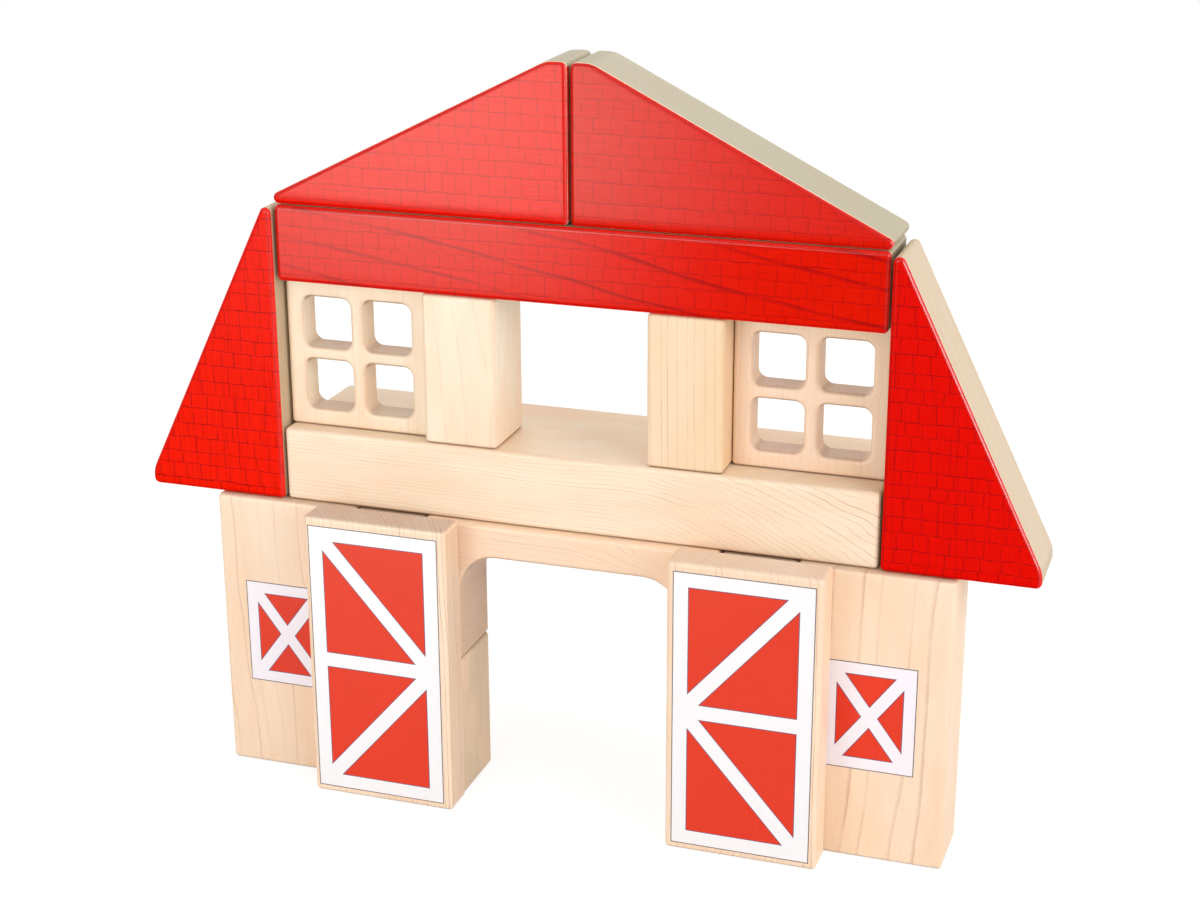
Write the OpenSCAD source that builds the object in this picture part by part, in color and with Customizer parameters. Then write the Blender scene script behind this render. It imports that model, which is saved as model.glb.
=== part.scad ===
// Toy barn built from loose wooden blocks, with two plain doors that slide open along its front.
// X runs along the front, Y from front to back and Z up. The origin lies on the floor, under the
// middle of the barn. Every block is a multiple of one unit, the thickness of the unit block.

/* [Blocks] */
// Thickness of the unit block, which the other blocks are multiples of
unit = 34.925; // [30:0.025:40]
// Radius of the softened edges of every block
edge_r = 2; // [1:0.25:2.5]
// Gap at the seam between two blocks that stand side by side
seam = 0.4; // [0.2:0.1:1]
// Gap kept around the blocks that slide or lift off
loose_gap = 0.3; // [0.3:0.1:0.6]

/* [Lower storey] */
// How much the walls and the arch are trimmed below a height of four units
wall_trim = 1.7; // [0:0.1:2]
// How much shorter than the walls the pillars beside the arch are
pillar_short = 0.8; // [0:0.1:2]
// Width of one leg of the arch block
arch_leg_w = 17.46; // [12:0.02:24]
// Thickness of the arch block above its opening
arch_crown_h = 15.8; // [12:0.1:24]
// Radius of the two curved corners at the top of the doorway
arch_corner_r = 17.8; // [8:0.1:26]

/* [Doors] */
// Thickness of a door
door_t = 17.46; // [12:0.02:20]
// Distance from the middle of the barn to the near edge of an open door
door_open = 51.8; // [40:0.1:60]
// Gap between the doors and the wall that they slide along
door_gap = 0.5; // [0.3:0.1:2]

/* [Upper storey] */
// How far the front of the floor beam stands behind the walls
floor_beam_setback = 4; // [0:0.5:8]
// How far the front of the posts stands behind the walls
post_setback = 5; // [0:0.5:10]
// Thickness of a window block
window_t = 14.6; // [10:0.1:18]
// How far the front of the left window stands behind the walls
window_left_setback = 12; // [4:0.5:22]
// How far the front of the right window stands behind the walls
window_right_setback = 19; // [4:0.5:22]
// Width and height of one window pane
pane = 23.6; // [16:0.1:26]
// Radius of a pane's corners
pane_corner_r = 4.4; // [2:0.1:8]
// Width of the bars between the panes
pane_bar = 6; // [4:0.1:8]

/* [Roof] */
// How far the front of the roof beam stands behind the walls
roof_beam_setback = 4.5; // [0:0.5:8]
// How far the front of the gables stands behind the walls
gable_setback = 5.5; // [0:0.5:8]
// How far the front of the side slopes stands behind the walls
slope_setback = 2.5; // [0:0.5:8]
// Gap between the two gables at the ridge
ridge_gap = 1.4; // [0.6:0.1:2]
// Gap between the side slopes and the ends of the beams
slope_gap = 1.1; // [0.8:0.1:3]
// Long side of a gable's triangle, before its corners are rounded
gable_long = 148.2; // [140:0.1:148.6]
// Short side of a gable's triangle, before its top is cut off
gable_short = 74.6; // [73.5:0.1:80]
// Height at which a gable's top is cut off
gable_h = 69.9; // [62:0.1:70.4]
// Long side of a side slope's triangle, before its corners are rounded
slope_long = 147; // [140:0.1:150]
// Short side of a side slope's triangle, before its foot is cut off
slope_short = 72.2; // [72:0.1:80]
// Width at which a side slope's foot is cut off
slope_foot_w = 68.7; // [62:0.1:68.7]
// Radius that blends a cut-off corner into the sloping side
blunt_r = 13; // [5:0.5:14]
// Radius of the other corners of the gables and the side slopes
tip_r = 2.7; // [2.5:0.1:5]

/* [Hidden] */
$fn = 32;

maple = "#F2DDBD";
pale_maple = "#F6E6CB";
end_maple = "#E4CBA6";
barn_red = "#DB3422";

// Heights of the rows, from the floor up
arch_base_z = 2 * unit;
floor_beam_z = 4 * unit - wall_trim;
window_z = floor_beam_z + unit;
roof_beam_z = window_z + 2 * unit;
gable_z = roof_beam_z + unit;

// Half widths of what stands in each row
doorway_half_w = 2 * unit - arch_leg_w;
pillar_half_w = 2 * unit;
wall_half_w = 3 * unit;
beam_half_w = 4 * unit;

// Doors and walls share one front, set so that the origin is under the middle of the whole barn
beam_depth = 2 * unit;
barn_depth = door_t + door_gap + floor_beam_setback + beam_depth;
wall_front = door_t + door_gap - barn_depth / 2;

// A rectangle with rounded corners, drawn from its lower left corner
module rounded_outline(w, h, corner_r) {
    translate([corner_r, 0]) square([w - 2 * corner_r, h]);
    translate([0, corner_r]) square([w, h - 2 * corner_r]);
    for (across = [corner_r, w - corner_r], up = [corner_r, h - corner_r])
        translate([across, up]) circle(corner_r);
}

// A block with softened edges; x, z is its lower left corner and front its front face
module block(x, z, w, h, front, depth) {
    translate([x, front, z]) {
        translate([0, 0, edge_r])
            linear_extrude(h - 2 * edge_r) rounded_outline(w, depth, edge_r);
        translate([0, depth - edge_r, 0]) rotate([90, 0, 0])
            linear_extrude(depth - 2 * edge_r) rounded_outline(w, h, edge_r);
        translate([edge_r, 0, 0]) rotate([90, 0, 90])
            linear_extrude(w - 2 * edge_r) rounded_outline(depth, h, edge_r);
        for (across = [edge_r, w - edge_r], y = [edge_r, depth - edge_r], up = [edge_r, h - edge_r])
            translate([across, y, up]) sphere(edge_r);
    }
}

// A block in its place in a row, trimmed by half a seam on both sides
module row_block(x, z, w, h, front, depth) {
    block(x + seam / 2, z, w - seam, h, front, depth);
}

// Cross-section of what a softened opening removes beside its edge: inner is its reach inside
module flare_profile(inner) {
    difference() {
        square([inner + edge_r, 2 * edge_r]);
        translate([inner + edge_r, 0]) circle(edge_r);
    }
}

// The ring that softens one rim of an opening
module rim_flare(w, h, corner_r) {
    for (sx = [-1, 1], sy = [-1, 1])
        translate([sx * (w / 2 - corner_r), sy * (h / 2 - corner_r)])
            rotate_extrude() flare_profile(corner_r);
    for (turn = [0, 180]) rotate(turn) {
        translate([w / 2 - corner_r, h / 2 - corner_r])
            rotate([90, 0, 0]) linear_extrude(h - 2 * corner_r) flare_profile(corner_r);
        translate([-w / 2 + corner_r, h / 2 - corner_r])
            rotate([90, 0, 90]) linear_extrude(w - 2 * corner_r) flare_profile(corner_r);
    }
}

// An opening through a block from front to back, with softened rims; its centre is the origin
module opening(w, h, corner_r, depth) {
    rotate([90, 0, 0]) {
        linear_extrude(depth + 2 * edge_r, center = true)
            translate([-w / 2, -h / 2]) rounded_outline(w, h, corner_r);
        for (side = [0, 1])
            mirror([0, 0, side]) translate([0, 0, depth / 2 - edge_r]) rim_flare(w, h, corner_r);
    }
}

// One rounded corner of a roof block
module corner_ring(corner_r) {
    rotate_extrude() intersection() {
        translate([corner_r - edge_r, 0]) circle(edge_r);
        translate([0, -edge_r]) square([corner_r, 2 * edge_r]);
    }
}

// A triangular roof block. Its square corner is the origin, its long side runs along +X and its
// short side along +Z, where the corner is cut off at a height of cut
module roof_block(long, short, cut) {
    slant = norm([long, short]);
    tip_angle = atan2(short, long);
    tip_x = long - tip_r / tan(tip_angle / 2);
    // The blend touches both the sloping side and the cut
    blend_x = long - (long * (cut - blunt_r) + slant * blunt_r) / short;
    hull() for (y = [edge_r, unit - edge_r]) translate([0, y, 0]) rotate([90, 0, 0]) {
        translate([edge_r, edge_r]) sphere(edge_r);
        translate([tip_x, tip_r]) corner_ring(tip_r);
        translate([tip_r, cut - tip_r]) corner_ring(tip_r);
        translate([blend_x, cut - blunt_r]) rotate(90 - tip_angle)
            rotate_extrude(angle = tip_angle) translate([blunt_r - edge_r, 0]) circle(edge_r);
    }
}

// The left one of a pair is drawn in place and the right one mirrored from it
module right_side() {
    mirror([1, 0, 0]) children();
}

module wall_shape() row_block(-5 * unit, 0, 2 * unit, floor_beam_z, wall_front, unit);

module pillar_shape() {
    row_block(-wall_half_w, 0, unit, floor_beam_z - pillar_short, wall_front, beam_depth);
}

module support_shape() {
    row_block(-pillar_half_w, 0, arch_leg_w + seam / 2, arch_base_z, wall_front, unit);
}

module door_shape() {
    block(-door_open - 2 * unit, 0, 2 * unit, 4 * unit, wall_front - door_gap - door_t, door_t);
}

module post_shape() row_block(-2 * unit, window_z, unit, 2 * unit, wall_front + post_setback, unit);

module window_shape(setback) {
    front = wall_front + setback;
    pitch = pane + pane_bar;
    difference() {
        row_block(-4 * unit, window_z, 2 * unit, 2 * unit, front, window_t);
        for (sx = [-1, 1], sz = [-1, 1])
            translate([-3 * unit + sx * pitch / 2, front + window_t / 2, window_z + unit + sz * pitch / 2])
                opening(pane, pane, pane_corner_r, window_t);
    }
}

module slope_shape() {
    translate([-beam_half_w - slope_gap, wall_front + slope_setback, floor_beam_z + loose_gap])
        rotate([0, -90, 0]) roof_block(slope_long, slope_short, slope_foot_w);
}

module gable_shape() {
    translate([-ridge_gap / 2, wall_front + gable_setback, gable_z + loose_gap])
        mirror([1, 0, 0]) roof_block(gable_long, gable_short, gable_h);
}

module wall_left() color(maple) wall_shape();

module wall_right() color(maple) right_side() wall_shape();

module pillar_left() color(end_maple) pillar_shape();

module pillar_right() color(end_maple) right_side() pillar_shape();

// The arch block bridges the doorway; its two short legs stand on the supports
module arch() color(pale_maple) {
    arch_h = floor_beam_z - arch_base_z;
    opening_h = 2 * (arch_h - arch_crown_h);
    difference() {
        row_block(-pillar_half_w, arch_base_z, 4 * unit, arch_h, wall_front, unit);
        translate([0, wall_front + unit / 2, arch_base_z])
            opening(2 * doorway_half_w, opening_h, arch_corner_r, unit);
        for (side = [0, 1]) mirror([side, 0, 0])
            translate([doorway_half_w, wall_front - edge_r, arch_base_z]) difference() {
                translate([-edge_r, 0, -edge_r]) cube([2 * edge_r, unit + 2 * edge_r, 2 * edge_r]);
                translate([edge_r, 0, edge_r]) rotate([-90, 0, 0]) cylinder(r = edge_r, h = unit + 2 * edge_r);
            }
    }
}

module arch_support_left() color(maple) support_shape();

module arch_support_right() color(maple) right_side() support_shape();

module door_left() color(pale_maple) door_shape();

module door_right() color(pale_maple) right_side() door_shape();

module floor_beam() color(pale_maple) {
    row_block(-beam_half_w, floor_beam_z, 2 * beam_half_w, unit, wall_front + floor_beam_setback, beam_depth);
}

module window_left() color(maple) window_shape(window_left_setback);

module window_right() color(maple) right_side() window_shape(window_right_setback);

module post_left() color(pale_maple) post_shape();

module post_right() color(maple) right_side() post_shape();

module roof_beam() color(barn_red) {
    row_block(-beam_half_w, roof_beam_z, 2 * beam_half_w, unit, wall_front + roof_beam_setback, unit);
}

module roof_slope_left() color(barn_red) slope_shape();

module roof_slope_right() color(barn_red) right_side() slope_shape();

module gable_left() color(barn_red) gable_shape();

module gable_right() color(barn_red) right_side() gable_shape();

wall_left();
wall_right();
pillar_left();
pillar_right();
arch();
arch_support_left();
arch_support_right();
door_left();
door_right();
floor_beam();
window_left();
window_right();
post_left();
post_right();
roof_beam();
roof_slope_left();
roof_slope_right();
gable_left();
gable_right();
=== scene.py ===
"""The looks of a toy barn built from loose maple blocks: grain, printed roof, printed doors, studio."""

import math
from collections import namedtuple

import bpy
from mathutils import Matrix, Vector


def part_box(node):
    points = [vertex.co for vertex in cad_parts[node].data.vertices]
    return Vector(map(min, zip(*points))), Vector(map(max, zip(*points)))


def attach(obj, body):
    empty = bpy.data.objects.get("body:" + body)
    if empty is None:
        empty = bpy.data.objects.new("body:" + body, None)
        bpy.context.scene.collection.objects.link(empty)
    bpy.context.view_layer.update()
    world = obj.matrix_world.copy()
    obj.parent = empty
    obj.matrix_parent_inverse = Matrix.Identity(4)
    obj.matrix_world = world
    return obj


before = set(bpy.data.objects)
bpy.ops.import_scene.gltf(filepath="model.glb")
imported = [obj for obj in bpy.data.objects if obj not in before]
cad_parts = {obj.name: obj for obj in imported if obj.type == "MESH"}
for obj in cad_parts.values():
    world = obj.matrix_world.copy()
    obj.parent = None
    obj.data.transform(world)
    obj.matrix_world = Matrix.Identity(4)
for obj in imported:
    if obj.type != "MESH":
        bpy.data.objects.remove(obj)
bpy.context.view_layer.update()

MM = 0.001
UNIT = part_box("floor_beam")[1].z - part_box("floor_beam")[0].z  # thickness of the unit block
WALL_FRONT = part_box("wall_left")[0].y

# ---------------------------------------------------------------- colours

# Colours are linear. A shade, a painted shade or a painted light multiplies the colour of the wood that it
# falls on.
PALE_MAPLE = (0.955, 0.765, 0.585)
WARM_MAPLE = (0.93, 0.69, 0.49)
CREAM_MAPLE = (0.935, 0.795, 0.61)
PINK_MAPLE = (0.93, 0.70, 0.53)
GOLD_MAPLE = (0.875, 0.647, 0.40)
# Maple with painted shade, for the narrow faces of the gables and the roof beam.
PAINTED_SHADE_GREY_MAPLE = (0.53, 0.475, 0.335)
# Maple with painted shade, for the arch supports in the doorway and the narrow faces of the slopes.
PAINTED_SHADE_DIM_MAPLE = (0.71, 0.575, 0.405)
RING_BROWN = (0.56, 0.27, 0.16)
END_SHADE = (0.76, 0.74, 0.74)
DOOR_END_SHADE = {"left": (0.72, 0.745, 0.81), "right": (0.90, 0.965, 1.06)}
# Painted shade on the left door's upright sides.
DOOR_SIDE_PAINTED_SHADE = (0.87, 0.85, 0.83)
# Painted light on the upright sides of the left post and of the left window.
POST_SIDE_PAINTED_LIGHT = (1.04, 1.12, 1.2)
PANE_SIDE_PAINTED_LIGHT = (1.05, 1.1, 1.13)
GABLE_SIDE_SHADE = (0.80, 0.74, 0.68)
# The darker end grain of the roof beam's ends, with painted shade of the seams beside the slopes.
BEAM_END_GRAIN_AND_PAINTED_SHADE = (0.62, 0.55, 0.50)
# Painted shade of the seam beside the roof beam, on the slopes' upright sides.
SLOPE_SIDE_PAINTED_SHADE = (0.86, 0.84, 0.80)
# Painted shade on the faces that look down, under each block and in the seams between stacked blocks.
UNDERSIDE_PAINTED_SHADE = (0.55, 0.49, 0.45)
ROOF_RED = (0.78, 0.004, 0.001)
BRIGHT_RED = (0.92, 0.0105, 0.001)
GABLE_RED = (0.83, 0.0075, 0.001)
DULL_RED = (0.71, 0.0085, 0.001)
BEAM_RED = (0.76, 0.0085, 0.001)
ROOF_DARK = (0.52, 0.003, 0.001)
ROOF_LINE = (0.30, 0.004, 0.006)
WHITE_INK = (0.93, 0.92, 0.93)
WINDOW_WHITE = (0.93, 0.88, 0.94)
DOOR_RED = (0.84, 0.047, 0.017)
OUTLINE_INK = (0.10, 0.06, 0.07)
FIELD_OUTLINE_INK = (0.16, 0.05, 0.13)
STUDIO_WHITE = (1.0, 1.0, 1.0)
FLOOR_GREY = (0.86, 0.86, 0.86)
SHEEN_CREAM = (1.0, 0.96, 0.82)


# ---------------------------------------------------------------- node graphs

# The sockets of a Mix node that blend colours. Its other sockets have the same names.
MIX_SHARE, MIX_FIRST, MIX_SECOND, MIX_RESULT = 0, 6, 7, 2


class Graph:
    """A material under construction. Its methods return the output sockets that they make."""

    def __init__(self, name):
        self.material = bpy.data.materials.new(name)
        self.material.use_nodes = True
        self.tree = self.material.node_tree
        self.tree.nodes.clear()

    def add(self, kind, inputs, output=0, **settings):
        """A new shader node. Each input is either a socket, which is linked, or a value."""
        node = self.tree.nodes.new("ShaderNode" + kind)
        for key, value in settings.items():
            setattr(node, key, value)
        for key, value in inputs.items():
            if isinstance(value, bpy.types.NodeSocket):
                self.tree.links.new(value, node.inputs[key])
            else:
                node.inputs[key].default_value = value
        return node.outputs[output]

    def math(self, operation, a, b=0.0, c=0.0):
        return self.add("Math", {0: a, 1: b, 2: c}, operation=operation)

    def scaled(self, value, factor, offset=0.0):
        return self.math("MULTIPLY_ADD", value, factor, offset)

    def times(self, *values):
        product = values[0]
        for value in values[1:]:
            product = self.math("MULTIPLY", product, value)
        return product

    def ramp(self, value, low, high, start=0.0, end=1.0):
        """Goes smoothly from start to end as value goes from low to high."""
        inputs = {0: value, 1: low, 2: high, 3: start, 4: end}
        return self.add("MapRange", inputs, interpolation_type="SMOOTHSTEP")

    def point(self, x, y, z):
        return self.add("CombineXYZ", {0: x, 1: y, 2: z})

    def noise(self, point, scale=1.0, detail=2.0, roughness=0.5, output=0):
        inputs = {"Vector": point, "Scale": scale, "Detail": detail, "Roughness": roughness}
        return self.add("TexNoise", inputs, output)

    def random(self, number, seed):
        """A random number from 0 to 1 for each whole number."""
        return self.add("TexWhiteNoise", {"W": self.scaled(number, 1.0, seed)}, noise_dimensions="1D")

    def mix(self, share, first, second, blend="MIX"):
        """Blends two colours, each of which is a socket or its red, green and blue."""
        first = first if isinstance(first, bpy.types.NodeSocket) else (*first, 1.0)
        second = second if isinstance(second, bpy.types.NodeSocket) else (*second, 1.0)
        inputs = {MIX_SHARE: share, MIX_FIRST: first, MIX_SECOND: second}
        return self.add("Mix", inputs, MIX_RESULT, data_type="RGBA", blend_type=blend)

    def parts(self, vector):
        """The x, y and z of a vector."""
        node = self.tree.nodes.new("ShaderNodeSeparateXYZ")
        self.tree.links.new(vector, node.inputs[0])
        return node.outputs[0], node.outputs[1], node.outputs[2]

    def facing(self):
        """The surface's own direction as x, y and z."""
        return self.parts(self.add("TexCoord", {}, "Normal"))

    def millimetres_from(self, origin):
        """The surface's place in millimetres, measured from origin, which is in metres."""
        place = self.add("TexCoord", {}, "Object")
        shift = [-coordinate / MM for coordinate in origin]
        inputs = {0: place, 1: [1 / MM] * 3, 2: shift}
        return self.parts(self.add("VectorMath", inputs, operation="MULTIPLY_ADD"))

    def streaks(self, axes, size, seed):
        """A point for noise that is drawn out along the grain. size is its length and width in
        millimetres."""
        along, across, depth = axes
        length, width = size
        along = self.scaled(along, 1 / length, seed)
        return self.point(along, self.scaled(across, 1 / width), self.scaled(depth, 1 / width))

    def finish(self, colour, height, roughness, gloss):
        """Closes and returns the material. height is in millimetres, gloss how strongly it reflects."""
        bump = self.add("Bump", {"Height": height, "Distance": MM, "Strength": 1.0})
        inputs = {
            "Base Color": colour,
            "Roughness": roughness,
            "Specular IOR Level": gloss,
            "Normal": bump,
        }
        shader = self.add("BsdfPrincipled", inputs)
        output = self.tree.nodes.new("ShaderNodeOutputMaterial")
        self.tree.links.new(shader, output.inputs["Surface"])
        return self.material


# ---------------------------------------------------------------- maple

# How a block was cut from its tree. The growth rings surround the pith, which lies at
# pith = (across, depth) millimetres from the block's middle and leans by tilt along the grain.
# spacing is the distance between two rings, line how dark they are and even how much alike.
# They wander by drift millimetres. Past bend_from, in millimetres along the grain, they spread
# by fan for each 100 mm, squared.
GROWTH_FIELDS = "seed pith tilt spacing line even drift fan bend_from"
Growth = namedtuple("Growth", GROWTH_FIELDS, defaults=(0.02, 4.2, 0.35, 0.0, 14.0, 0.0, 0.0))

Wood = namedtuple("Wood", "colour height rings fibre")

# Length along the grain and width across it, in millimetres, of what varies in the wood.
CLOUD = (150, 42)  # its colour, and the way in which its rings wander
JITTER = (5, 2.5)  # small unevenness of a ring
WAVE = (20, 9)  # waves of the rings that spread
FIBRE = (16, 0.55)
FLECK = (2.4, 0.42)

# The values of a noise, which goes from 0 to 1, between which a feature comes in.
FLECKS = (0.62, 0.74)
WARM_CLOUDS = (0.3, 0.7)
STRONG_RINGS = (0.3, 0.62)
ROUGH_PATCHES = (0.3, 0.7)

FIBRE_HEIGHT = 0.02  # mm
FLECK_DEPTH = 0.01  # mm
FIBRE_SHARE, FIBRE_LESS = 0.34, 0.08  # a fibre warms the wood by its noise times this, less that
FLECK_SHARE = 0.13
JITTER_PART = 20  # the small unevenness of a ring is its drift divided by this
DARKEST_FROM, DARKEST_SPAN = 0.55, 0.4  # where in its width a ring may be darkest, at random
DARK_RISE, DARK_FALL = 0.14, 0.05  # the shares of its width over which that comes in and ends
DARKEST_SEED = 3.7  # keeps where a ring is darkest apart from how dark it is
UNEVEN_POWER = 1.6  # the higher, the fewer rings are dark
CUT_ALONG = (0.8, 0.99)  # how squarely a face looks at the pith where its rings start and end fading
FADED_RINGS = 0.1  # the share of them that is left then
WORN_RINGS = 0.35  # the share that is left in their weakest places
FAN_STEP = 100  # mm
WAVE_GROWTH, WAVE_LIMIT = 6.0, 3.0  # in rings: for each step of the fan, and at most

# The parts of a face's direction, from -1 to 1, between which it starts to count as such a face.
ENDS = (0.55, 0.9)
SIDES = (0.93, 0.98)
TOPS = (0.4, 0.8)
UNDERSIDES = (-0.35, -0.75)

TOP_RINGS = 0.5  # the share of the rings that shows on the top of a lying block
SATIN_GLOSS = 0.18
SATIN_ROUGHNESS = (0.42, 0.5)


def grain_axes(graph, node, runs):
    """Place in a block from its middle, in millimetres: along the grain, across it, and depth."""
    low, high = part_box(node)
    x, y, z = graph.millimetres_from((low + high) / 2)
    return (x, z, y) if runs == "x" else (z, x, y)


def from_pith(graph, axes, growth, slow):
    """Place from the pith in millimetres, across the grain and in depth."""
    along, across, depth = axes
    drift_a, drift_d, _ = graph.parts(graph.noise(slow, roughness=0.55, output="Color"))
    half = growth.drift / 2
    lean = graph.scaled(along, growth.tilt, -growth.pith[0])
    a = graph.math("ADD", graph.math("ADD", across, lean), graph.scaled(drift_a, growth.drift, -half))
    d = graph.math("ADD", depth, graph.scaled(drift_d, growth.drift, -half - growth.pith[1]))
    return a, d


def spread_rings(graph, axes, growth, rings):
    """The rings of a block in which they spread out in waves past bend_from."""
    beyond = graph.scaled(axes[0], 1 / FAN_STEP, -growth.bend_from / FAN_STEP)
    beyond = graph.math("MAXIMUM", beyond, 0.0)
    spread = graph.scaled(graph.times(beyond, beyond), growth.fan, 1.0)
    wave = graph.noise(graph.streaks(axes, WAVE, growth.seed), detail=1.0)
    waves = graph.times(wave, graph.math("MINIMUM", graph.times(beyond, WAVE_GROWTH), WAVE_LIMIT))
    return graph.math("DIVIDE", graph.math("ADD", rings, waves), spread)


def late_wood(graph, growth, rings):
    """The dark wood towards the end of each ring, from 0 to 1, darker in some rings than in others."""
    ring = graph.math("FLOOR", rings)
    darkest = graph.random(ring, growth.seed + DARKEST_SEED)
    darkest = graph.scaled(darkest, DARKEST_SPAN, DARKEST_FROM)
    past = graph.math("SUBTRACT", graph.math("FRACT", rings), darkest)
    before, after = graph.ramp(past, -DARK_RISE, 0.0), graph.ramp(past, 0.0, DARK_FALL, 1.0, 0.0)
    uneven = graph.math("POWER", graph.random(ring, growth.seed), UNEVEN_POWER)
    bold = graph.scaled(uneven, 1 - growth.even, growth.even)
    return graph.times(before, after, bold)


def growth_rings(graph, axes, runs, growth):
    """How dark the growth rings are, from 0 to 1. They fade on a face that is cut along them."""
    slow = graph.streaks(axes, CLOUD, growth.seed)
    a, d = from_pith(graph, axes, growth, slow)
    radius = graph.math("SQRT", graph.math("ADD", graph.times(a, a), graph.times(d, d)))
    jitter = graph.noise(graph.streaks(axes, JITTER, growth.seed), detail=1.0)
    radius = graph.math("ADD", radius, graph.scaled(jitter, growth.drift / JITTER_PART))
    outward = graph.facing()
    slant = graph.math("ADD", graph.times(a, outward[2 if runs == "x" else 0]), graph.times(d, outward[1]))
    tangent = graph.math("ABSOLUTE", graph.math("DIVIDE", slant, radius))
    clear = graph.ramp(tangent, *CUT_ALONG, start=1.0, end=FADED_RINGS)
    rings = graph.scaled(radius, 1 / growth.spacing)
    if growth.fan:
        rings = spread_rings(graph, axes, growth, rings)
    dark = late_wood(graph, growth, rings)
    worn = graph.ramp(graph.noise(slow, scale=6.0, detail=1.0), *STRONG_RINGS, start=WORN_RINGS)
    return graph.times(dark, worn, clear, growth.line)


def maple_wood(graph, axes, runs, growth, light, warm, shown=1.0):
    """Solid maple: colour, height in millimetres, and how strongly its rings and fibres show.
    shown is the share of the rings that its colour takes on."""
    rings = growth_rings(graph, axes, runs, growth)
    fibre = graph.noise(graph.streaks(axes, FIBRE, growth.seed), detail=3.0, roughness=0.6)
    fleck = graph.noise(graph.streaks(axes, FLECK, growth.seed), detail=1.0)
    fleck = graph.ramp(fleck, *FLECKS)
    cloud = graph.streaks(axes, CLOUD, growth.seed)
    cloud = graph.noise(cloud, scale=1.7, detail=3.0, roughness=0.6)
    colour = graph.mix(graph.ramp(cloud, *WARM_CLOUDS), light, warm)
    colour = graph.mix(graph.scaled(fibre, FIBRE_SHARE, -FIBRE_LESS), colour, warm, "MULTIPLY")
    colour = graph.mix(graph.times(fleck, FLECK_SHARE), colour, RING_BROWN)
    colour = graph.mix(graph.times(rings, shown), colour, RING_BROWN)
    height = graph.math("ADD", graph.scaled(fibre, FIBRE_HEIGHT), graph.times(fleck, -FLECK_DEPTH))
    return Wood(colour, height, rings, fibre)


def end_grain(graph, runs):
    """1 on the faces that cut across the grain, 0 on the others."""
    along = graph.facing()[0 if runs == "x" else 2]
    return graph.ramp(graph.math("ABSOLUTE", along), *ENDS)


def beside(graph):
    """1 on the upright faces to the left and right, 0 on the others."""
    return graph.ramp(graph.math("ABSOLUTE", graph.facing()[0]), *SIDES)


def underneath(graph):
    """1 on the faces that look down, 0 on the others."""
    start, full = UNDERSIDES
    return graph.ramp(graph.facing()[2], full, start, 1.0, 0.0)


def maple(node, growth, runs="z", light=PALE_MAPLE, end=END_SHADE, side=None):
    """Bare maple with a satin finish. The rings of a lying block are faint on its top."""
    graph = Graph("maple_" + node)
    axes = grain_axes(graph, node, runs)
    shown = graph.ramp(graph.facing()[2], *TOPS, start=1.0, end=TOP_RINGS) if runs == "x" else 1.0
    wood = maple_wood(graph, axes, runs, growth, light, WARM_MAPLE, shown)
    colour = graph.mix(end_grain(graph, runs), wood.colour, end, "MULTIPLY")
    # side paints the upright left and right faces: painted shade on the left door, painted light on the
    # left post and window.
    if side:
        colour = graph.mix(beside(graph), colour, side, "MULTIPLY")
    # Painted shade on the faces that look down, which also darkens the seams between stacked blocks.
    colour = graph.mix(underneath(graph), colour, UNDERSIDE_PAINTED_SHADE, "MULTIPLY")
    patches = graph.noise(graph.point(*axes), scale=0.2)
    roughness = graph.ramp(patches, *ROUGH_PATCHES, *SATIN_ROUGHNESS)
    return graph.finish(colour, wood.height, roughness, SATIN_GLOSS)


# ---------------------------------------------------------------- printed roof

# The drawn shingles, in millimetres.
SHINGLE_ROW = 7.1
SHINGLE_WIDTH = 7.5
LINE_CORE, LINE_EDGE = 0.11, 0.3  # from the middle of a line to where it starts to fade, and is gone
HAND_STEP = 9  # the drawing hand strays once in about this distance,
HAND_SLIP_X, HAND_SLIP_Z = 1.2, 1.6  # by this much in all along X and Z
ROW_STEP = 13  # the height of the rows changes once in about this distance
COLUMN_STEP = 12  # and the width of the shingles once in this

ROW_UNEVEN = 0.7  # of a row
COLUMN_UNEVEN = 0.55  # of a shingle
ROW_SHIFT = 53.0  # in shingles: a row starts anywhere up to here
ROW_SEED = 7.3  # keeps the unevenness of one row apart from the next one's
COLUMN_STRENGTH = 0.85  # of the upright lines, where the level ones have 1
FULL_STROKES = (0.3, 0.6)  # the values of the noise between which a stroke gets its full strength
LIGHTEST_STROKE = 0.35


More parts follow.
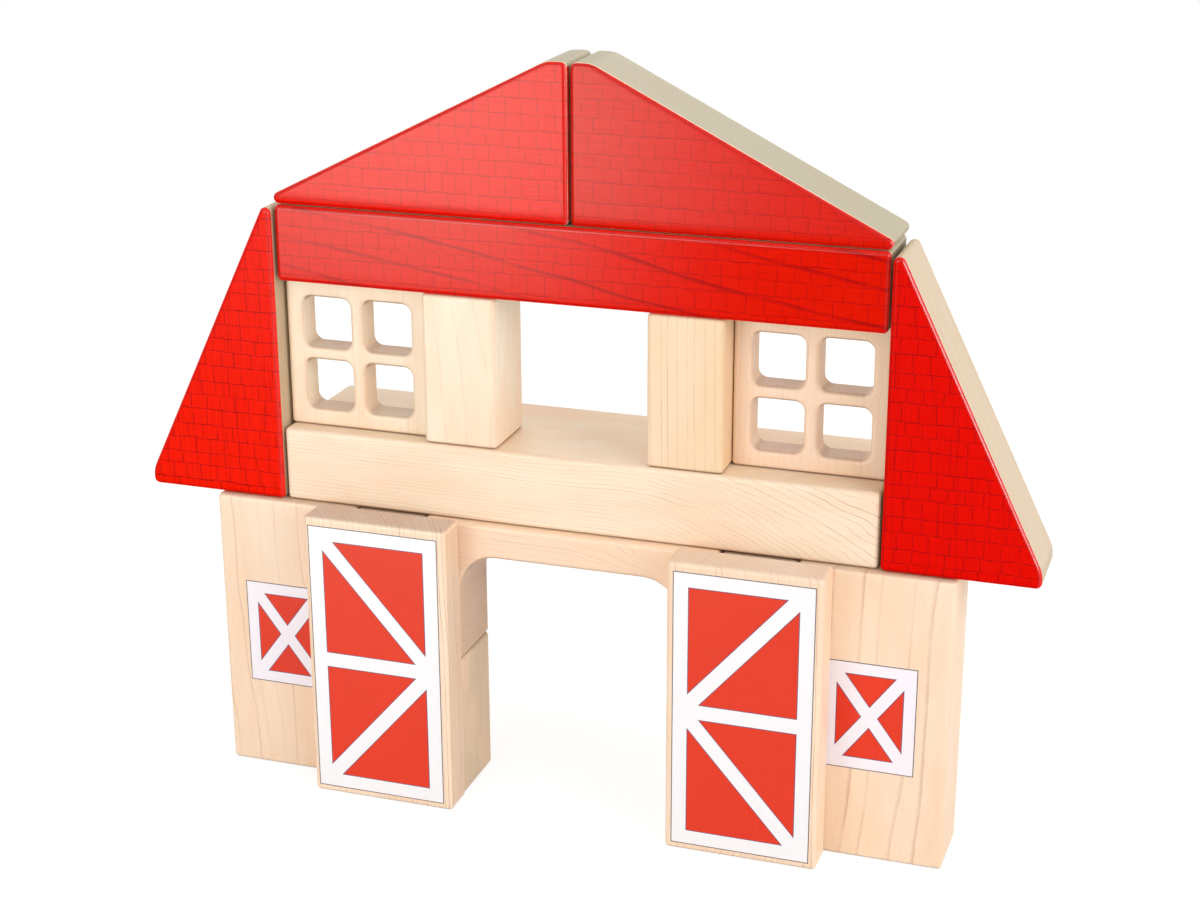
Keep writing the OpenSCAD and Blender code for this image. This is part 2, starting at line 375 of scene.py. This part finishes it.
def shingle_lines(graph, x, z, seed):
    """How strongly the drawn lines of a shingle roof show, from 0 to 1."""
    hand = graph.point(graph.scaled(x, 1 / HAND_STEP, seed), graph.scaled(z, 1 / HAND_STEP), 0.0)
    wobble_x, wobble_z, _ = graph.parts(graph.noise(hand, output="Color"))
    z = graph.math("ADD", z, graph.scaled(wobble_z, HAND_SLIP_Z, -HAND_SLIP_Z / 2))
    uneven = graph.noise(graph.point(seed, graph.scaled(z, 1 / ROW_STEP), 0.0), detail=0.0)
    rows = graph.math("ADD", graph.scaled(z, 1 / SHINGLE_ROW), graph.scaled(uneven, ROW_UNEVEN))
    row = graph.math("FLOOR", rows)
    x = graph.math("ADD", x, graph.scaled(wobble_x, HAND_SLIP_X, -HAND_SLIP_X / 2))
    shift = graph.scaled(graph.random(row, seed), ROW_SHIFT)
    spread = graph.point(graph.scaled(x, 1 / COLUMN_STEP), graph.scaled(row, ROW_SEED), seed)
    spread = graph.noise(spread, detail=0.0)
    shift = graph.math("ADD", shift, graph.scaled(spread, COLUMN_UNEVEN))
    columns = graph.math("ADD", graph.scaled(x, 1 / SHINGLE_WIDTH), shift)
    pressure = graph.noise(hand, scale=2.2, detail=1.0)
    pressure = graph.ramp(pressure, *FULL_STROKES, start=LIGHTEST_STROKE)
    lines = []
    for place, pitch, strength in ((rows, SHINGLE_ROW, 1.0), (columns, SHINGLE_WIDTH, COLUMN_STRENGTH)):
        to_nearest = graph.scaled(graph.math("PINGPONG", place, 0.5), pitch)
        lines.append(graph.ramp(to_nearest, LINE_CORE, LINE_EDGE, strength, 0.0))
    return graph.times(graph.math("MAXIMUM", *lines), pressure)


# How a roof block is printed: the red, the way in which its grain runs, the colour of its narrow
# faces, which is maple with painted shade, the shade of its upright sides (darker end grain, with
# painted shade of the seams on the beam's ends and the slopes), how much of the wood's rings shows
# in the red, how dark the drawn lines are, how far in millimetres the ink reaches round the edges,
# how many millimetres further it has spilt over the upright sides, its gloss, the share of its
# gloss that is left along its foot, and the share that is lost towards the right.
PRINT_FIELDS = "red runs light side show lines depth spilt gloss foot fade"
PRINT_DEFAULTS = ("x", PAINTED_SHADE_GREY_MAPLE, GABLE_SIDE_SHADE, 0.5, 0.62, 1.1, 0.0, 0.048, 0.05, 0.0)
Print = namedtuple("Print", PRINT_FIELDS, defaults=PRINT_DEFAULTS)

# Sizes and places on a printed block, in millimetres.
BAND_LENGTH, BAND_WIDTH = 60, 2.2  # of the dark bands along the narrow faces
EDGE_LINE_STARTS, EDGE_LINE_ENDS = (0.02, 0.08), (0.2, 0.4)  # of the darker line in the red just behind the front edge
RAGGED = 0.3  # how far in all the ink's border strays
SOFTNESS = 0.06  # of the ink's border, to each side
FOOT = (1.0, 7.0)  # above the underside, where the dull foot ends
FADE = (90.0, 240.0)  # from the left end, where the gloss is lost

# The parts of a face's direction between which it starts to count as such a face.
BROAD_FACES = (0.05, 0.35)
RIGHT_EDGES = (0.12, 0.45)
UPPER_EDGES = (0.06, 0.4)

# The values of a noise between which a feature comes in.
BANDS = (0.42, 0.7)
DARK_FIBRES = (0.42, 0.72)

BAND_SHARE = 0.2
FIBRE_DARKNESS = 0.35
EDGE_LINE_DARKNESS = 0.35
NARROW_RINGS, BROAD_RINGS = 0.15, 0.9  # the shares of the rings that show on such faces
EDGE_GLOSS = 0.3  # of the thicker lacquer on a roof block's upper and right-hand edges
UPPER_SHARE = 0.75  # how much of that an upper edge has
FADE_GAIN = 1.15  # of a gloss that fades, at the left end
WOOD_ROUGHNESS, INK_ROUGHNESS = 0.46, 0.28


def narrow_faces(graph, bare, axes, broad, growth):
    """The bare wood with dark bands along its narrow faces."""
    along = graph.scaled(axes[0], 1 / BAND_LENGTH, growth.seed)
    layers = graph.point(along, 0.0, graph.scaled(axes[2], 1 / BAND_WIDTH))
    layers = graph.noise(layers, detail=3.0, roughness=0.6)
    bands = graph.ramp(layers, *BANDS, end=BAND_SHARE)
    narrow = graph.scaled(broad, -1.0, 1.0)
    return graph.mix(graph.times(bands, narrow), bare, RING_BROWN)


def red_ink(graph, wood, place, growth, look):
    """The red, with the wood's fibres and rings, the drawn shingles and a darker line behind the front
    edge.
    """
    x, depth, z = place
    fibres = graph.ramp(wood.fibre, *DARK_FIBRES, end=FIBRE_DARKNESS)
    red = graph.mix(fibres, look.red, ROOF_DARK)
    red = graph.mix(graph.times(wood.rings, look.show), red, ROOF_LINE)
    drawn = graph.times(shingle_lines(graph, x, z, growth.seed), look.lines)
    edge_line_end = graph.ramp(depth, *EDGE_LINE_ENDS, start=EDGE_LINE_DARKNESS, end=0.0)
    edge_line = graph.times(graph.ramp(depth, *EDGE_LINE_STARTS), edge_line_end)
    return graph.mix(graph.math("MAXIMUM", drawn, edge_line), red, ROOF_LINE)


def printed_area(graph, place, look):
    """1 on the front and on as much of the edges as the ink reaches, 0 on the bare wood."""
    x, depth, z = place
    ragged = graph.noise(graph.point(x, 0.0, z), scale=0.8)
    border = graph.math("ADD", depth, graph.scaled(ragged, RAGGED, -RAGGED / 2))
    reach = graph.scaled(beside(graph), look.spilt, look.depth)
    past = graph.math("SUBTRACT", border, reach)
    return graph.ramp(past, -SOFTNESS, SOFTNESS, start=1.0, end=0.0)


def roof_gloss(graph, place, inked, look):
    """Gloss of a roof block, dull at its foot and strong along its upper and right-hand edges."""
    x, _, z = place
    to_right, _, upward = graph.facing()
    upper_edge = graph.times(inked, graph.ramp(upward, *UPPER_EDGES, end=UPPER_SHARE))
    edge = graph.math("MAXIMUM", graph.ramp(to_right, *RIGHT_EDGES), upper_edge)
    shine = graph.ramp(z, *FOOT, start=look.foot * look.gloss, end=look.gloss)
    if look.fade:
        shine = graph.times(shine, graph.ramp(x, *FADE, start=FADE_GAIN, end=FADE_GAIN - look.fade))
    return graph.math("ADD", shine, graph.scaled(edge, EDGE_GLOSS - look.gloss))


def printed_maple(node, growth, look):
    """Maple whose front is printed red with a shingle pattern."""
    graph = Graph("red_print_" + node)
    axes = grain_axes(graph, node, look.runs)
    broad = graph.ramp(graph.math("ABSOLUTE", graph.facing()[1]), *BROAD_FACES)
    # Painted shade: the narrow faces take look.light, darker and greyer than the cream that the front, the
    # back and the rounded edges beside them keep.
    pale = graph.mix(broad, look.light, CREAM_MAPLE)
    warm = graph.mix(broad, look.light, WARM_MAPLE)
    shown = graph.scaled(broad, BROAD_RINGS - NARROW_RINGS, NARROW_RINGS)
    wood = maple_wood(graph, axes, look.runs, growth, pale, warm, shown)
    # look.side multiplies the upright left and right faces: darker end grain, with painted shade of the
    # seams on the roof beam's ends and on the slopes' sides.
    bare = graph.mix(beside(graph), wood.colour, look.side, "MULTIPLY")
    bare = narrow_faces(graph, bare, axes, broad, growth)
    place = graph.millimetres_from(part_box(node)[0])
    red = red_ink(graph, wood, place, growth, look)
    inked = printed_area(graph, place, look)
    roughness = graph.scaled(inked, INK_ROUGHNESS - WOOD_ROUGHNESS, WOOD_ROUGHNESS)
    gloss = roof_gloss(graph, place, inked, look)
    return graph.finish(graph.mix(inked, bare, red), wood.height, roughness, gloss)


# ---------------------------------------------------------------- printed panels

PRINT_DEPTH = 0.06 * MM  # how far a print stands proud of the wood, and how deep it lies in it
OUTLINE = 0.4 * MM  # width of the thin line round each printed shape
INK_FIBRE = (22, 0.8)  # length and width in millimetres of the fibres that show in an ink
INK_CLOUD = 30  # mm, about the size of its slow changes
INK_CLOUD_SHARE = 0.7  # how strong they are beside the fibres
INK_DARKEST = 0.62  # of the ink's own colour
INK_HEIGHT = 0.012  # mm
PANEL_ROUGHNESS = 0.4


def ink(name, colour, grain_show, gloss=0.3):
    """Opaque ink on maple: the fibres of the wood show faintly in it."""
    graph = Graph(name)
    x, y, z = graph.millimetres_from((0, 0, 0))
    streaks = graph.streaks((z, x, y), INK_FIBRE, 0.0)
    streaks = graph.noise(streaks, detail=3.0, roughness=0.6)
    cloud = graph.noise(graph.point(x, y, z), scale=1 / INK_CLOUD)
    cloud = graph.scaled(cloud, grain_show * INK_CLOUD_SHARE)
    shade = graph.math("ADD", graph.scaled(streaks, grain_show), cloud)
    darker = tuple(channel * INK_DARKEST for channel in colour)
    tone = graph.mix(shade, colour, darker)
    return graph.finish(tone, graph.scaled(streaks, INK_HEIGHT), PANEL_ROUGHNESS, gloss)


def flat_piece(name, loops, front_y, body, material):
    """A thin printed layer on a front face. Each loop is a list of (x, z) points in metres;
    a loop inside another one is a hole."""
    curve = bpy.data.curves.new(name, "CURVE")
    curve.dimensions = "2D"
    curve.fill_mode = "BOTH"
    curve.extrude = PRINT_DEPTH
    for loop in loops:
        spline = curve.splines.new("POLY")
        spline.points.add(len(loop) - 1)
        spline.use_cyclic_u = True
        for control, (x, z) in zip(spline.points, loop):
            control.co = (x, z, 0, 1)
    drawn = bpy.data.objects.new(name + "_outline", curve)
    bpy.context.scene.collection.objects.link(drawn)
    mesh = bpy.data.meshes.new_from_object(drawn.evaluated_get(bpy.context.evaluated_depsgraph_get()))
    bpy.data.objects.remove(drawn)
    mesh.name = name
    upright = Matrix.Translation((0, front_y, 0)) @ Matrix.Rotation(math.pi / 2, 4, "X")
    mesh.transform(upright)
    mesh.materials.clear()
    mesh.materials.append(material)
    piece = bpy.data.objects.new(name, mesh)
    bpy.context.scene.collection.objects.link(piece)
    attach(piece, body)


def inset(loop, distance):
    """The closed convex loop, anticlockwise, moved inwards by distance."""
    moved = []
    for before, here, after in zip(loop[-1:] + loop[:-1], loop, loop[1:] + loop[:1]):
        a = (Vector(here) - Vector(before)).normalized()
        b = (Vector(after) - Vector(here)).normalized()
        inward_a, inward_b = Vector((-a.y, a.x)), Vector((-b.y, b.x))
        corner = (inward_a + inward_b) / (1 + inward_a.dot(inward_b))
        moved.append(tuple(Vector(here) + corner * distance))
    return moved


def rectangle(x0, z0, x1, z1):
    return [(x0, z0), (x1, z0), (x1, z1), (x0, z1)]


def mirrored(loop, x):
    """The loop mirrored about the upright line at x, still anticlockwise."""
    return [(2 * x - px, pz) for px, pz in reversed(loop)]


def printed_panel(name, body, front_y, panel, fields, white):
    """A panel in white ink with red fields in it, and a thin dark line round each."""
    inner = inset(panel, OUTLINE)
    insides = [inset(field, OUTLINE) for field in fields]
    flat_piece(name + "_white", [inner, *fields], front_y, body, INKS[white])
    flat_piece(name + "_red", insides, front_y, body, INKS["red"])
    flat_piece(name + "_outline", [panel, inner], front_y, body, INKS["outline"])
    flat_piece(name + "_red_outlines", [*fields, *insides], front_y, body, INKS["red_outline"])


DOOR_BOARD = 6.9 * MM  # width of the painted boards on a door
DOOR_PANEL_W = 63.6 * MM
DOOR_PANEL_H = 132.3 * MM
DOOR_PANEL_FOOT = 3.2 * MM  # how far the panel starts above the floor
DOOR_PANEL_START = {"left": 2.3 * MM, "right": 3.0 * MM}  # how far it starts from a door's left edge
BRACE_REACH = (5.0 * MM, 4.6 * MM)  # how much a brace takes off a field's corner, along X and Z


def door_fields(x0, x1, z0, z1):
    """The four red triangles of a left door, whose braces meet at the middle of its right side."""
    left, right = x0 + DOOR_BOARD, x1 - DOOR_BOARD
    middle = (z0 + z1) / 2
    reach_x, reach_z = BRACE_REACH
    fields = []
    upper = (middle + DOOR_BOARD / 2, z1 - DOOR_BOARD, 1)
    lower = (z0 + DOOR_BOARD, middle - DOOR_BOARD / 2, -1)
    for low, high, tip in (upper, lower):
        near, far = (low, high) if tip > 0 else (high, low)
        near_field = [(left, near), (right - reach_x, near), (left, far - tip * reach_z)]
        far_field = [(right, far), (left + reach_x, far), (right, near + tip * reach_z)]
        fields += [near_field, far_field] if tip > 0 else [near_field[::-1], far_field[::-1]]
    return fields


def door_print(side):
    node = "door_" + side
    door_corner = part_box(node)[0]
    x0 = door_corner.x + DOOR_PANEL_START[side]
    x1 = x0 + DOOR_PANEL_W
    z0, z1 = DOOR_PANEL_FOOT, DOOR_PANEL_FOOT + DOOR_PANEL_H
    panel = rectangle(x0, z0, x1, z1)
    fields = door_fields(x0, x1, z0, z1)
    if side == "right":
        fields = [mirrored(field, (x0 + x1) / 2) for field in fields]
    printed_panel(node + "_print", side + "_door", door_corner.y, panel, fields, "white")


WINDOW_BOARD = 5.6 * MM  # width of the painted boards of a wall window
WINDOW_PANEL_W = 41.2 * MM
WINDOW_PANEL_H = 51.6 * MM
WINDOW_PANEL_SHIFT = {"left": -1.8 * MM, "right": -0.2 * MM}  # from the middle of its wall
WINDOW_PANEL_LIFT = 0.7 * MM


def window_fields(x0, x1, z0, z1):
    """The four red triangles between the arms of an X."""
    left, right = x0 + WINDOW_BOARD, x1 - WINDOW_BOARD
    bottom, top = z0 + WINDOW_BOARD, z1 - WINDOW_BOARD
    across, up = right - left, top - bottom
    slant = math.hypot(across, up)
    reach_x, reach_z = WINDOW_BOARD / 2 * slant / up, WINDOW_BOARD / 2 * slant / across
    cx, cz = (left + right) / 2, (bottom + top) / 2
    return [
        [(left + reach_x, bottom), (right - reach_x, bottom), (cx, cz - reach_z)],
        [(right, bottom + reach_z), (right, top - reach_z), (cx + reach_x, cz)],
        [(right - reach_x, top), (left + reach_x, top), (cx, cz + reach_z)],
        [(left, top - reach_z), (left, bottom + reach_z), (cx - reach_x, cz)],
    ]


def window_print(side):
    node = "wall_" + side
    low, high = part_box(node)
    cx = (low.x + high.x) / 2 + WINDOW_PANEL_SHIFT[side]
    cz = (low.z + high.z) / 2 + WINDOW_PANEL_LIFT
    x0, x1 = cx - WINDOW_PANEL_W / 2, cx + WINDOW_PANEL_W / 2
    z0, z1 = cz - WINDOW_PANEL_H / 2, cz + WINDOW_PANEL_H / 2
    panel = rectangle(x0, z0, x1, z1)
    fields = window_fields(x0, x1, z0, z1)
    printed_panel(node + "_print", "barn", low.y, panel, fields, "window_white")


INKS = {
    "white": ink("white_ink", WHITE_INK, grain_show=0.03),
    "window_white": ink("window_white_ink", WINDOW_WHITE, grain_show=0.04),
    "red": ink("door_red_ink", DOOR_RED, grain_show=0.25, gloss=0.12),
    "outline": ink("outline_ink", OUTLINE_INK, grain_show=0.2),
    "red_outline": ink("red_outline_ink", FIELD_OUTLINE_INK, grain_show=0.2),
}

for side in ("left", "right"):
    door_print(side)
    window_print(side)


# ---------------------------------------------------------------- finish of each block

GROWTHS = {  # seed, pith, tilt, spacing, line, even, drift, fan, bend_from
    "wall_left": Growth(1.3, (-70, 45), 0.05, 5.2, 0.4, 0.2),
    "wall_right": Growth(7.9, (-160, 60), -0.05, 11.5, 0.45, 0.6),
    "pillar_left": Growth(11.2, (60, 60), spacing=3.0),
    "pillar_right": Growth(14.8, (-50, 70), spacing=3.0),
    "arch": Growth(3.1, (-90, 0), 0.03, 3.1, 0.5, 0.4, fan=-0.2),
    "arch_support_left": Growth(5.6, (70, 20), 0.04, 5.0, 0.5),
    "arch_support_right": Growth(9.4, (-70, 20), 0.04, 5.0, 0.5),
    "door_left": Growth(21.7, (-160, -120), 0.01, 2.3, 1.0, 0.25, 5.0),
    "door_right": Growth(25.2, (-120, -140), 0.01, 2.1, 0.8, 0.25, 5.0),
    "floor_beam": Growth(31.5, (45, -35), 0.0, 1.75, 0.75, 0.5, 9.0, 0.85, 10),
    "window_left": Growth(41.1, (-60, 75), 0.02, 3.2, 0.35, 0.0, 8.0),
    "window_right": Growth(44.6, (95, 20), -0.02, 3.4, 0.4, 0.2, 7.0),
    "post_left": Growth(51.9, (-60, 60), 0.05, 6.0, 0.15),
    "post_right": Growth(55.3, (-180, 0), 0.01, 3.9, 0.6, 0.55, 3.0),
    "roof_beam": Growth(61.4, (-160, 20), 0.2, 15.0, 1.0, 0.7),
    "roof_slope_left": Growth(64.2, (-90, 20), 0.03, 7.0, 0.5, 0.3),
    "roof_slope_right": Growth(68.8, (-90, 20), 0.03, 6.0, 0.5, 0.3),
    "gable_left": Growth(71.7, (-90, 20), 0.05, 9.0, 0.4),
    "gable_right": Growth(75.1, (-90, 20), 0.05, 7.0, 0.5, 0.3),
}

LOOKS = {
    "arch": {"runs": "x", "light": PINK_MAPLE},
    # The arch supports get the painted shade of the doorway.
    "arch_support_left": {"light": PAINTED_SHADE_DIM_MAPLE},
    "arch_support_right": {"light": PAINTED_SHADE_DIM_MAPLE},
    "door_left": {"end": DOOR_END_SHADE["left"], "side": DOOR_SIDE_PAINTED_SHADE},
    "door_right": {"end": DOOR_END_SHADE["right"]},
    "floor_beam": {"runs": "x", "light": CREAM_MAPLE},
    "window_left": {"light": CREAM_MAPLE, "side": PANE_SIDE_PAINTED_LIGHT},
    "window_right": {"light": PINK_MAPLE},
    "post_left": {"light": CREAM_MAPLE, "side": POST_SIDE_PAINTED_LIGHT},
    "post_right": {"light": GOLD_MAPLE},
}

BEAM = {"side": BEAM_END_GRAIN_AND_PAINTED_SHADE, "show": 0.8, "depth": 1.95, "gloss": 0.042, "foot": 0.6, "fade": 1.05}
SLOPE = {"runs": "z", "light": PAINTED_SHADE_DIM_MAPLE, "side": SLOPE_SIDE_PAINTED_SHADE, "lines": 0.85, "gloss": 0.012}

PRINTS = {
    "roof_beam": Print(BEAM_RED, **BEAM),
    "roof_slope_left": Print(BRIGHT_RED, depth=1.9, **SLOPE),
    "roof_slope_right": Print(ROOF_RED, depth=1.5, **SLOPE),
    "gable_left": Print(GABLE_RED, spilt=2.6),
    "gable_right": Print(DULL_RED, spilt=2.6),
}

for node, growth in GROWTHS.items():
    if node in PRINTS:
        material = printed_maple(node, growth, PRINTS[node])
    else:
        material = maple(node, growth, **LOOKS.get(node, {}))
    for material_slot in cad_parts[node].material_slots:
        material_slot.link = "OBJECT"
        material_slot.material = material

FACETED = ("roof_slope_left", "roof_slope_right", "gable_left", "gable_right")
HARD_EDGE = math.radians(30)
SAME_POINT = 0.002 * MM  # corners that are this close become one
LARGEST_FACE_FIRST = 100  # 50 is neutral; at 100 the largest face beside an edge decides its shading


def smooth_shading():
    """A node group that joins a faceted block's split corners and shades its rounded edges smooth."""
    group = bpy.data.node_groups.new("smooth_rounded_edges", "GeometryNodeTree")
    group.interface.new_socket("Geometry", in_out="INPUT", socket_type="NodeSocketGeometry")
    group.interface.new_socket("Geometry", in_out="OUTPUT", socket_type="NodeSocketGeometry")
    nodes, links = group.nodes, group.links
    start, end = nodes.new("NodeGroupInput"), nodes.new("NodeGroupOutput")
    forget = nodes.new("GeometryNodeRemoveAttribute")
    forget.inputs["Name"].default_value = "custom_normal"
    merge = nodes.new("GeometryNodeMergeByDistance")
    merge.inputs["Distance"].default_value = SAME_POINT
    faces = nodes.new("GeometryNodeSetShadeSmooth")
    edges = nodes.new("GeometryNodeSetShadeSmooth")
    edges.domain = "EDGE"
    angle = nodes.new("GeometryNodeInputMeshEdgeAngle")
    soft = nodes.new("FunctionNodeCompare")
    soft.operation = "LESS_THAN"
    soft.inputs[1].default_value = HARD_EDGE
    links.new(angle.outputs["Unsigned Angle"], soft.inputs[0])
    links.new(soft.outputs[0], edges.inputs["Shade Smooth"])
    chain = (start, forget, merge, faces, edges, end)
    for before, after in zip(chain, chain[1:]):
        links.new(before.outputs[0], after.inputs[0])
    return group


shading = smooth_shading()
for node in FACETED:
    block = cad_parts[node]
    block.modifiers.new("smooth_edges", "NODES").node_group = shading
    weighted = block.modifiers.new("flat_faces", "WEIGHTED_NORMAL")
    weighted.mode = "FACE_AREA"
    weighted.weight = LARGEST_FACE_FIRST
    weighted.keep_sharp = True


# ---------------------------------------------------------------- camera

CAMERA_AZIMUTH = math.radians(18.667)
CAMERA_ELEVATION = math.radians(19.605)
CAMERA_ROLL = math.radians(-0.175)
CAMERA_DISTANCE = 27.354 * UNIT
CAMERA_TARGET = Vector((0.447 * UNIT, WALL_FRONT, 5.065 * UNIT))
FOCAL_PIXELS = 2180.4
PHOTO_WIDTH = 1200  # pixels
SENSOR = 36.0  # mm
NEAREST_SEEN, FARTHEST_SEEN = 0.05, 60.0  # m


def make_camera():
    lens = bpy.data.cameras.new("camera")
    lens.sensor_width = SENSOR
    lens.lens = FOCAL_PIXELS / PHOTO_WIDTH * SENSOR
    lens.clip_start, lens.clip_end = NEAREST_SEEN, FARTHEST_SEEN
    camera = bpy.data.objects.new("camera", lens)
    bpy.context.scene.collection.objects.link(camera)
    sine, cosine = math.sin(CAMERA_AZIMUTH), math.cos(CAMERA_AZIMUTH)
    level = math.cos(CAMERA_ELEVATION)
    back = Vector((sine * level, -cosine * level, math.sin(CAMERA_ELEVATION)))
    right = Vector((cosine, sine, 0))
    up = back.cross(right)
    turned_right = right * math.cos(CAMERA_ROLL) + up * math.sin(CAMERA_ROLL)
    turned_up = up * math.cos(CAMERA_ROLL) - right * math.sin(CAMERA_ROLL)
    axes = Matrix((turned_right, turned_up, back)).transposed().to_4x4()
    camera.matrix_world = Matrix.Translation(CAMERA_TARGET + back * CAMERA_DISTANCE) @ axes
    bpy.context.scene.camera = camera


# ---------------------------------------------------------------- studio

FLOOR_REACH = 8.0  # m, from the middle to each side
FLOOR_GLOW = 1.16  # strength of its plain white
FLOOR_WHITE = 0.72  # share of plain white in the floor that the camera sees; the rest is lit
WORLD_LIGHT = 0.66  # strength of the world's light on the blocks; the camera sees it as 1, white

# A soft box: its place and aim in metres, its size and its own brightness, where 1 is white.
Lamp = namedtuple("Lamp", "place aim size strength colour", defaults=(STUDIO_WHITE,))

BARN_MIDDLE = Vector((0, WALL_FRONT, 5 * UNIT))
LAMPS = {
    "key": Lamp((-0.39, -0.85, 0.145), (-0.02, -0.03, 0.19), (0.40, 0.25), 5.1),
    "side": Lamp((1.2, -0.55, 0.7), (0.0, 0.0, 0.18), (0.9, 0.8), 3.1),
    "overhead": Lamp((0.3, -0.2, 1.5), BARN_MIDDLE, (1.2, 0.9), 0.9),
    "back": Lamp((-0.5, 1.3, 0.8), BARN_MIDDLE, (1.2, 1.0), 0.85),
}
# Reflector cards, which show only in the gloss of the blocks.
CARDS = {
    "sheen": Lamp((-0.41, -0.85, 0.17), (-0.02, -0.03, 0.19), (0.36, 0.25), 54.0, SHEEN_CREAM),
    "side_sheen": Lamp((1.1, -0.45, 0.45), (0.1, 0.0, 0.2), (0.5, 0.5), 20.0),
    "edge_sheen": Lamp((-0.32, -0.92, 0.55), (0.0, -0.03, 0.24), (0.5, 0.14), 34.0),
}


def make_lamp(name, lamp):
    light = bpy.data.lights.new(name, "AREA")
    light.shape = "RECTANGLE"
    width, height = lamp.size
    light.size, light.size_y = width, height
    light.energy = lamp.strength * width * height * math.pi
    light.color = lamp.colour
    box = bpy.data.objects.new(name, light)
    bpy.context.scene.collection.objects.link(box)
    box.location = lamp.place
    box.rotation_mode = "QUATERNION"
    box.rotation_quaternion = (Vector(lamp.aim) - Vector(lamp.place)).to_track_quat("-Z", "Y")
    box.visible_diffuse = name not in CARDS


def seen_directly(nodes, links):
    """1 for rays from the camera, a reflection or glass, which see the background itself."""
    path = nodes.new("ShaderNodeLightPath")
    total = path.outputs["Is Camera Ray"]
    for name in ("Is Glossy Ray", "Is Transmission Ray"):
        larger = nodes.new("ShaderNodeMath")
        larger.operation = "MAXIMUM"
        links.new(total, larger.inputs[0])
        links.new(path.outputs[name], larger.inputs[1])
        total = larger.outputs[0]
    return total


def make_world():
    world = bpy.data.worlds.new("studio")
    world.use_nodes = True
    nodes, links = world.node_tree.nodes, world.node_tree.links
    nodes.clear()
    background = nodes.new("ShaderNodeBackground")
    background.inputs["Color"].default_value = (*STUDIO_WHITE, 1)
    strength = nodes.new("ShaderNodeMapRange")
    strength.inputs["To Min"].default_value = WORLD_LIGHT
    links.new(seen_directly(nodes, links), strength.inputs["Value"])
    links.new(strength.outputs[0], background.inputs["Strength"])
    output = nodes.new("ShaderNodeOutputWorld")
    links.new(background.outputs[0], output.inputs["Surface"])
    bpy.context.scene.world = world


def floor_material():
    material = bpy.data.materials.new("floor_white")
    material.use_nodes = True
    nodes, links = material.node_tree.nodes, material.node_tree.links
    nodes.clear()
    lit = nodes.new("ShaderNodeBsdfDiffuse")
    lit.inputs["Color"].default_value = (*FLOOR_GREY, 1)
    plain = nodes.new("ShaderNodeEmission")
    plain.inputs["Strength"].default_value = FLOOR_GLOW
    share = nodes.new("ShaderNodeMath")
    share.operation = "MULTIPLY"
    share.inputs[1].default_value = FLOOR_WHITE
    links.new(seen_directly(nodes, links), share.inputs[0])
    both = nodes.new("ShaderNodeMixShader")
    links.new(share.outputs[0], both.inputs[0])
    links.new(lit.outputs[0], both.inputs[1])
    links.new(plain.outputs[0], both.inputs[2])
    output = nodes.new("ShaderNodeOutputMaterial")
    links.new(both.outputs[0], output.inputs["Surface"])
    return material


def make_floor():
    mesh = bpy.data.meshes.new("floor")
    corners = rectangle(-FLOOR_REACH, -FLOOR_REACH, FLOOR_REACH, FLOOR_REACH)
    mesh.from_pydata([(x, y, 0) for x, y in corners], [], [(0, 1, 2, 3)])
    mesh.materials.append(floor_material())
    floor = bpy.data.objects.new("floor", mesh)
    bpy.context.scene.collection.objects.link(floor)


make_camera()
make_world()
make_floor()
for name, lamp in {**LAMPS, **CARDS}.items():
    make_lamp(name, lamp)
bpy.context.scene.view_settings.view_transform = "Standard"
